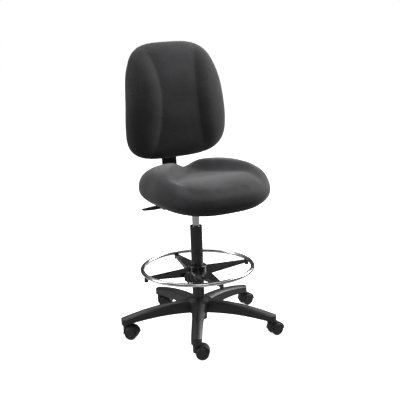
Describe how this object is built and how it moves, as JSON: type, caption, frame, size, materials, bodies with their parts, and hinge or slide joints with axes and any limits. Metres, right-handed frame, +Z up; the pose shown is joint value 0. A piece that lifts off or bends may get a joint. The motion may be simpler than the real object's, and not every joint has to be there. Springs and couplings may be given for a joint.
{
  "type": "drafting chair",
  "caption": "Armless drafting chair with contoured fabric seat and back, height-adjusting gas column, chrome foot ring and a black caster base.",
  "frame": {"origin": "on the floor, on the column's axis", "axes": "+Z up, -Y the way the sitter faces, -X at the sitter's right hand"},
  "size_m": [0.6319, 0.6082, 1.1206],
  "materials": {
    "nylon_black": "satin glass-filled nylon",
    "wheel_black": "satin moulded nylon",
    "bright_steel": "ground steel",
    "zinc_steel": "zinc plated",
    "chrome": "polished chrome plate",
    "painted_black": "satin black powder coat",
    "moulded_black": "fine-grained moulding",
    "red_valve": "plain steel",
    "rubber_black": "matt",
    "plywood": "raw moulded plywood",
    "charcoal_fabric": "charcoal woven upholstery"
  },
  "bodies": {
    "base": {"base_spider": "nylon_black", "column_tube": "painted_black", "guide_bush": "moulded_black", "thrust_bearing": "bright_steel"},
    "gas_rod": {"piston_rod": "bright_steel", "rod_piston": "moulded_black", "rod_end_clip": "bright_steel", "rubber_bumper": "rubber_black"},
    "seat_carriage": {"gas_cylinder": "chrome", "cylinder_seal": "moulded_black", "seat_mechanism": "painted_black", "mechanism_bolts": "zinc_steel", "seat_board": "plywood", "seat_tee_nuts": "bright_steel", "seat_cushion": "charcoal_fabric", "lever_pivot_pin": "bright_steel"},
    "valve": {"valve_pin": "red_valve"},
    "lever": {"release_lever": "painted_black", "lever_grip": "moulded_black"},
    "back_bar": {"back_upright": "painted_black"},
    "back_rest": {"back_bracket": "painted_black", "back_bolts": "zinc_steel", "back_board": "plywood", "back_cushion": "charcoal_fabric", "back_shell": "moulded_black"},
    "back_height_knob": {"height_knob": "moulded_black", "height_clamp_stud": "zinc_steel"},
    "back_depth_knob": {"depth_knob": "moulded_black", "depth_clamp_stud": "zinc_steel"},
    "foot_ring_frame": {"foot_ring": "chrome", "foot_ring_spider": "painted_black", "foot_ring_bush": "moulded_black", "foot_ring_screws": "zinc_steel"},
    "foot_ring_knob": {"ring_knob": "moulded_black", "ring_clamp_stud": "zinc_steel"},
    "caster_1": {"caster_1_hood": "nylon_black", "caster_1_stem": "bright_steel", "caster_1_axle": "bright_steel"},
    "caster_1_left": {"caster_1_wheel_left": "wheel_black"},
    "caster_1_right": {"caster_1_wheel_right": "wheel_black"},
    "caster_2": {"caster_2_hood": "nylon_black", "caster_2_stem": "bright_steel", "caster_2_axle": "bright_steel"},
    "caster_2_left": {"caster_2_wheel_left": "wheel_black"},
    "caster_2_right": {"caster_2_wheel_right": "wheel_black"},
    "caster_3": {"caster_3_hood": "nylon_black", "caster_3_stem": "bright_steel", "caster_3_axle": "bright_steel"},
    "caster_3_left": {"caster_3_wheel_left": "wheel_black"},
    "caster_3_right": {"caster_3_wheel_right": "wheel_black"},
    "caster_4": {"caster_4_hood": "nylon_black", "caster_4_stem": "bright_steel", "caster_4_axle": "bright_steel"},
    "caster_4_left": {"caster_4_wheel_left": "wheel_black"},
    "caster_4_right": {"caster_4_wheel_right": "wheel_black"},
    "caster_5": {"caster_5_hood": "nylon_black", "caster_5_stem": "bright_steel", "caster_5_axle": "bright_steel"},
    "caster_5_left": {"caster_5_wheel_left": "wheel_black"},
    "caster_5_right": {"caster_5_wheel_right": "wheel_black"}
  },
  "joints": [
    {"name": "seat_swivel", "type": "hinge", "parent": "base", "child": "gas_rod", "pos_m": [0, 0, 0.056], "axis": [0, 0, 1], "continuous": true},
    {"name": "seat_lift", "type": "slide", "parent": "gas_rod", "child": "seat_carriage", "axis": [0, 0, 1], "range_m": [-0.034, 0.214]},
    {"name": "lever_lift", "type": "hinge", "parent": "seat_carriage", "child": "lever", "pos_m": [-0.028, 0, 0.5112], "axis": [0, 1, 0], "range_deg": [0, 3.4], "stiffness_Nm_per_rad": 6, "springref_deg": -2.86},
    {"name": "valve_press", "type": "slide", "parent": "seat_carriage", "child": "valve", "axis": [0, 0, -1], "range_m": [0, 0.0018]},
    {"name": "back_depth", "type": "slide", "parent": "seat_carriage", "child": "back_bar", "axis": [0, 1, 0], "range_m": [-0.025, 0.035]},
    {"name": "back_height", "type": "slide", "parent": "back_bar", "child": "back_rest", "axis": [0, 0.0698, 0.9976], "range_m": [-0.004, 0.066]},
    {"name": "height_knob_turn", "type": "hinge", "parent": "back_rest", "child": "back_height_knob", "pos_m": [0, 0.21188, 0.74692], "axis": [0, 0.9976, -0.0698], "range_deg": [-360, 0]},
    {"name": "depth_knob_turn", "type": "hinge", "parent": "seat_carriage", "child": "back_depth_knob", "pos_m": [0, 0.072, 0.49], "axis": [0, 0, 1], "range_deg": [-360, 0]},
    {"name": "foot_ring_slide", "type": "slide", "parent": "base", "child": "foot_ring_frame", "axis": [0, 0, 1], "range_m": [-0.08, 0.15]},
    {"name": "ring_knob_turn", "type": "hinge", "parent": "foot_ring_frame", "child": "foot_ring_knob", "pos_m": [0, 0, 0.239], "axis": [-0.7771, -0.6293, 0], "range_deg": [-360, 0]},
    {"name": "caster_1_swivel", "type": "hinge", "parent": "base", "child": "caster_1", "pos_m": [-0.15807, -0.24908, 0.0565], "axis": [0, 0, 1], "continuous": true},
    {"name": "caster_1_left_spin", "type": "hinge", "parent": "caster_1", "child": "caster_1_left", "pos_m": [-0.14075, -0.25908, 0.025], "axis": [0.5, 0.866, 0], "continuous": true},
    {"name": "caster_1_right_spin", "type": "hinge", "parent": "caster_1", "child": "caster_1_right", "pos_m": [-0.14075, -0.25908, 0.025], "axis": [0.5, 0.866, 0], "continuous": true},
    {"name": "caster_2_swivel", "type": "hinge", "parent": "base", "child": "caster_2", "pos_m": [0.18804, -0.2273, 0.0565], "axis": [0, 0, 1], "continuous": true},
    {"name": "caster_2_left_spin", "type": "hinge", "parent": "caster_2", "child": "caster_2_left", "pos_m": [0.20804, -0.2273, 0.025], "axis": [0, 1, 0], "continuous": true},
    {"name": "caster_2_right_spin", "type": "hinge", "parent": "caster_2", "child": "caster_2_right", "pos_m": [0.20804, -0.2273, 0.025], "axis": [0, 1, 0], "continuous": true},
    {"name": "caster_3_swivel", "type": "hinge", "parent": "base", "child": "caster_3", "pos_m": [0.27428, 0.1086, 0.0565], "axis": [0, 0, 1], "continuous": true},
    {"name": "caster_3_left_spin", "type": "hinge", "parent": "caster_3", "child": "caster_3_left", "pos_m": [0.29421, 0.11034, 0.025], "axis": [-0.0872, 0.9962, 0], "continuous": true},
    {"name": "caster_3_right_spin", "type": "hinge", "parent": "caster_3", "child": "caster_3_right", "pos_m": [0.29421, 0.11034, 0.025], "axis": [-0.0872, 0.9962, 0], "continuous": true},
    {"name": "caster_4_swivel", "type": "hinge", "parent": "base", "child": "caster_4", "pos_m": [-0.01852, 0.29442, 0.0565], "axis": [0, 0, 1], "continuous": true},
    {"name": "caster_4_left_spin", "type": "hinge", "parent": "caster_4", "child": "caster_4_left", "pos_m": [-0.0032, 0.28156, 0.025], "axis": [0.6428, 0.766, 0], "continuous": true},
    {"name": "caster_4_right_spin", "type": "hinge", "parent": "caster_4", "child": "caster_4_right", "pos_m": [-0.0032, 0.28156, 0.025], "axis": [0.6428, 0.766, 0], "continuous": true},
    {"name": "caster_5_swivel", "type": "hinge", "parent": "base", "child": "caster_5", "pos_m": [-0.28573, 0.07336, 0.0565], "axis": [0, 0, 1], "continuous": true},
    {"name": "caster_5_left_spin", "type": "hinge", "parent": "caster_5", "child": "caster_5_left", "pos_m": [-0.27235, 0.0585, 0.025], "axis": [0.7431, 0.6691, 0], "continuous": true},
    {"name": "caster_5_right_spin", "type": "hinge", "parent": "caster_5", "child": "caster_5_right", "pos_m": [-0.27235, 0.0585, 0.025], "axis": [0.7431, 0.6691, 0], "continuous": true}
  ],
  "couplings": [
    {"joint": "valve_press", "follows": "lever_lift", "m_per_rad": 0.028}
  ]
}
